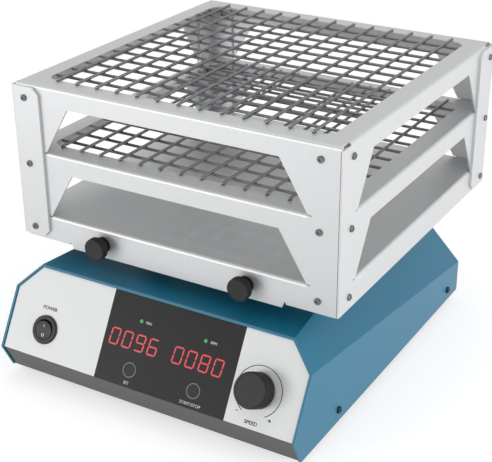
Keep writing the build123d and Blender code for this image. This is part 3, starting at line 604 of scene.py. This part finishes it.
knob = ribbed_disc(
    knob_radius, knob_low, knob_high, rib_count, rib_height, collar_height, knob_chamfer, knob_dish
)
ease(knob)
knob.location = (knob_x, knob_over_edge, 0)
knob_tone = rgb(37, 37, 38)
knob_plastic = painted("knob_plastic", knob_tone, 0.46, peel=1700.0, mottle=0.08, gloss=0.3)
settle(knob, "speed_knob_ribbed", "speed_knob", "black_plastic", knob_plastic, slope)
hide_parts("speed_knob")

# Carriage.
# A folded steel plate on the crank pins, on which the rack is clamped.
dress(zinc, "carriage_plate")

# Rack.
# Three trays cut and folded from satin steel sheet, and four corner posts screwed to them.
# Its grain is rolled lengthwise, with a fine speckle and broad patches that dull it a little.
rack_sheet = Finish("satin_sheet")
rolled = cloud(rack_sheet, 900.0, 3.0, (1, 0.12, 1))
speckle = cloud(rack_sheet, 260.0, 5.0)
broad = cloud(rack_sheet, 7.0, 3.0)
sheet_tone = rgb(213, 214, 215)
tone = between(rack_sheet, 0.5 * rolled + 0.5 * speckle, shade(sheet_tone, 0.93), shade(sheet_tone, 1.05))
rack_sheet.surface(
    Base_Color=between(rack_sheet, 0.4 * broad, tone, shade(sheet_tone, 0.94)),
    Metallic=0.55,
    Roughness=0.4 + 0.08 * speckle + 0.05 * broad,
    Normal=relief(rack_sheet, rolled + speckle, 0.012 * mm),
)
dress(rack_sheet, "tray_top", "tray_middle", "tray_bottom", *["post_" + corner for corner in corners])
stainless = worked("stainless_steel", rgb(170, 172, 175), 0.3, grain=300.0)
dress(worked("dark_screws", rgb(116, 117, 119), 0.32, grain=300.0), "rack_screws")
dress(zinc, "rack_nuts")

# Wire shelves.
# Drawn steel wires laid crosswise and spot welded; each crossing has a small bead of weld.
# The upper wires rest on the tray's border, and the lower ones hang under them inside its opening.
wire_steel = worked("drawn_wire", rgb(122, 123, 125), 0.38, grain=500.0, stretch=(0.3, 0.3, 1))
weld_metal = worked("weld_bead", rgb(104, 103, 101), 0.5, grain=900.0)
opening_size = 268 * mm
wire_pitch = 20 * mm
wire_count = 13
wire_radius = 1.3 * mm
wire_rest = 3.5 * mm
wire_room = 0.4 * mm
wire_end = 0.3 * mm
bead_radius = 1.5 * mm
bead_squash = 0.62
wire_corners = 20
quarter = math.radians(90)


def repeated(piece, pitch):
    """Lays a whole row of copies, each one pitch further on."""
    finish_with(
        piece,
        "ARRAY",
        count=wire_count,
        use_relative_offset=False,
        use_constant_offset=True,
        constant_offset_displace=pitch,
    )


def wire_row(length, turn, pitch, start):
    """One layer of straight wires with rounded ends."""
    bpy.ops.object.select_all(action="DESELECT")
    bpy.ops.mesh.primitive_cylinder_add(
        vertices=wire_corners, radius=wire_radius, depth=length, rotation=turn
    )
    row = bpy.context.object
    bpy.ops.object.transform_apply(rotation=True)
    sharp = math.radians(60)
    finish_with(row, "BEVEL", width=wire_end, segments=2, limit_method="ANGLE", angle_limit=sharp)
    row.location = start
    bpy.ops.object.transform_apply(location=True)
    repeated(row, pitch)
    return row


for name in ("shelf_top", "shelf_middle"):
    centre = middle(name)
    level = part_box(name)[0].z
    first = centre.xy - Vector((1, 1)) * wire_pitch * (wire_count - 1) / 2
    start = (centre.x, first.y, level - wire_radius)
    across = wire_row(opening_size - 2 * wire_room, (0, quarter, 0), (0, wire_pitch, 0), start)
    start = (first.x, centre.y, level + wire_radius)
    along = wire_row(opening_size + 2 * wire_rest, (quarter, 0, 0), (wire_pitch, 0, 0), start)
    alone(across, along)
    bpy.ops.object.join()
    grid = bpy.context.object
    ease(grid)
    settle(grid, "wires_" + name, "rack", "wire_steel", wire_steel)
    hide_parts(name)
    bpy.ops.object.select_all(action="DESELECT")
    place = (first.x, first.y, level)
    bpy.ops.mesh.primitive_uv_sphere_add(segments=8, ring_count=6, radius=bead_radius, location=place)
    beads = bpy.context.object
    beads.scale = (1, 1, bead_squash)
    bpy.ops.object.transform_apply(location=True, rotation=True, scale=True)
    repeated(beads, (wire_pitch, 0, 0))
    repeated(beads, (0, wire_pitch, 0))
    ease(beads, angle=80)
    settle(beads, "weld_beads_" + name, "rack", "wire_steel", weld_metal)

# Thumb screws.
# Black moulded heads on steel threads; they pass through the front flange and clamp the rack.
thumb_reach = 14 * mm
thumb_radius = 10 * mm
thumb_low = thumb_reach - 6.5 * mm
thumb_ribs = 48
thumb_rib = 0.3 * mm
thumb_band = 1.2 * mm
thumb_chamfer = 0.6 * mm
thumb_dish = 0.2 * mm
neck_low = 1.2 * mm
neck_radius = 6 * mm
neck_edge = 0.5 * mm
thread_radius = 3 * mm
thread_top = 2 * mm
thread_edge = 0.6 * mm


def round_bar(radius, low, high, corners, edge, segments):
    """A bar along z with rounded ends."""
    bpy.ops.object.select_all(action="DESELECT")
    place = (0, 0, (low + high) / 2)
    bpy.ops.mesh.primitive_cylinder_add(vertices=corners, radius=radius, depth=high - low, location=place)
    bar = bpy.context.object
    finish_with(bar, "BEVEL", width=edge, segments=segments, limit_method="ANGLE")
    ease(bar)
    return bar


for side in ("left", "right"):
    body = "thumb_screw_" + side
    joint = next(joint for joint in frame["joints"] if joint["name"] == "thumb_turn_" + side)
    seat = Matrix.Translation(joint["pos_m"]) @ Matrix.Rotation(quarter, 4, "X")
    head = ribbed_disc(
        thumb_radius, thumb_low, thumb_reach, thumb_ribs, thumb_rib, thumb_band, thumb_chamfer, thumb_dish
    )
    ease(head)
    settle(head, "thumb_head_" + side, body, "black_plastic", knob_plastic, seat)
    neck = round_bar(neck_radius, neck_low, thumb_low, corners=64, edge=neck_edge, segments=3)
    settle(neck, "thumb_neck_" + side, body, "black_plastic", knob_plastic, seat)
    thread_tip = joint["pos_m"][1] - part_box(body)[1].y
    thread = round_bar(thread_radius, thread_tip, thread_top, corners=48, edge=thread_edge, segments=2)
    settle(thread, "thumb_thread_" + side, body, "stainless", stainless, seat)
    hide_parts(body)
    dress(black_plastic, "thumb_washer_" + side)
